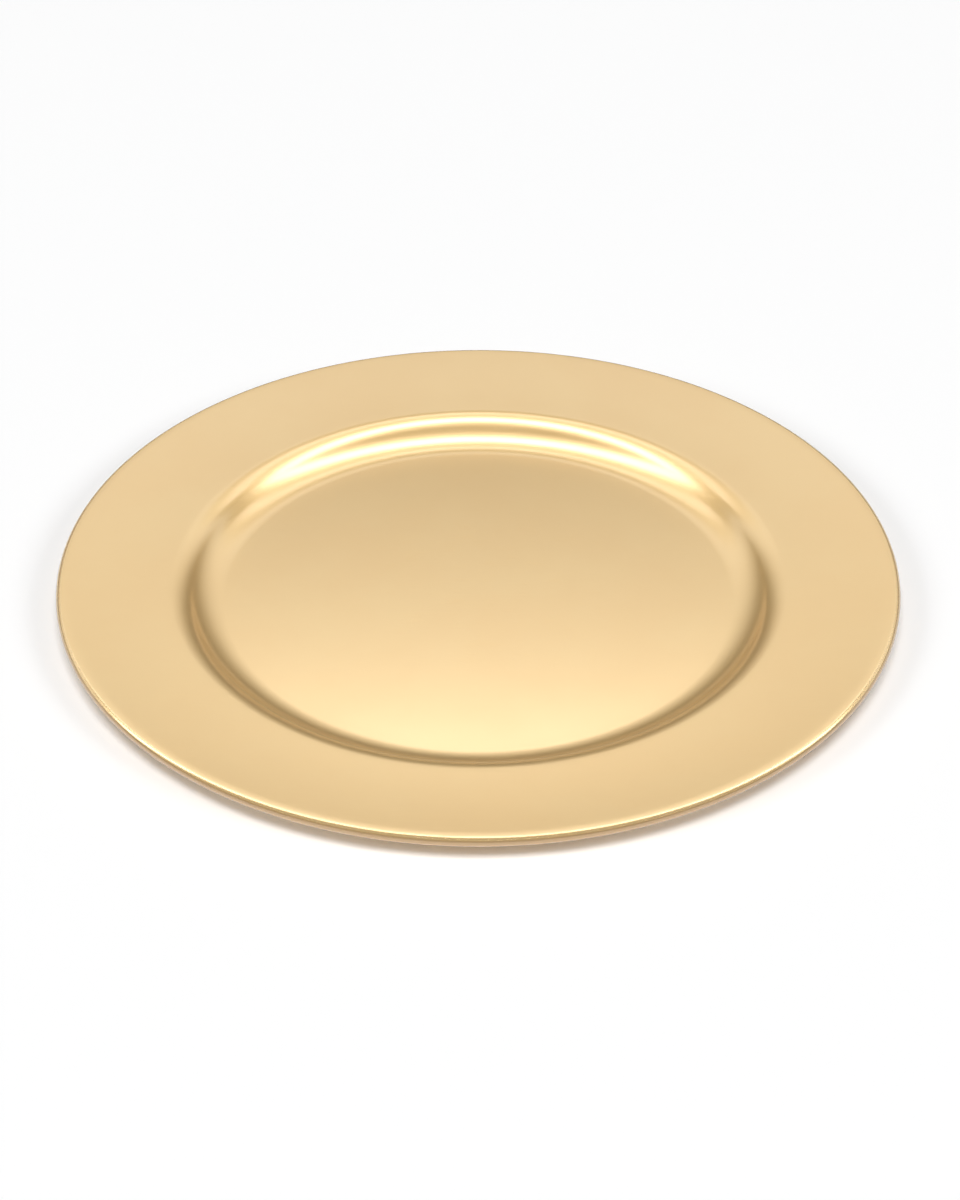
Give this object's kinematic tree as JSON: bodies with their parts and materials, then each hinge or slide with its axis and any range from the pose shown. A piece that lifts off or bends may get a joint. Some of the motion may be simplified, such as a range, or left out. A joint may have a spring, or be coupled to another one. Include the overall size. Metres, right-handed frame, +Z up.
{
  "type": "charger plate",
  "caption": "Round metal charger plate with a shallow well, a wide plain rim and a wire-stiffened rolled edge, standing on felt pads, to set under a dinner plate.",
  "frame": {"origin": "centre of the plate on the surface that its pads stand on", "axes": "+Z up, out of the well, along the plate's axis of revolution; -Y is the front, towards the viewer of the picture"},
  "size_m": [0.33, 0.33, 0.0138],
  "materials": {
    "gold_finish": "satin",
    "wire_steel": "satin",
    "pad_felt": "matte"
  },
  "bodies": {
    "root": {"plate_pan": "gold_finish", "edge_wire": "wire_steel", "foot_pad_1": "pad_felt", "foot_pad_2": "pad_felt", "foot_pad_3": "pad_felt", "foot_pad_4": "pad_felt"}
  },
  "joints": []
}
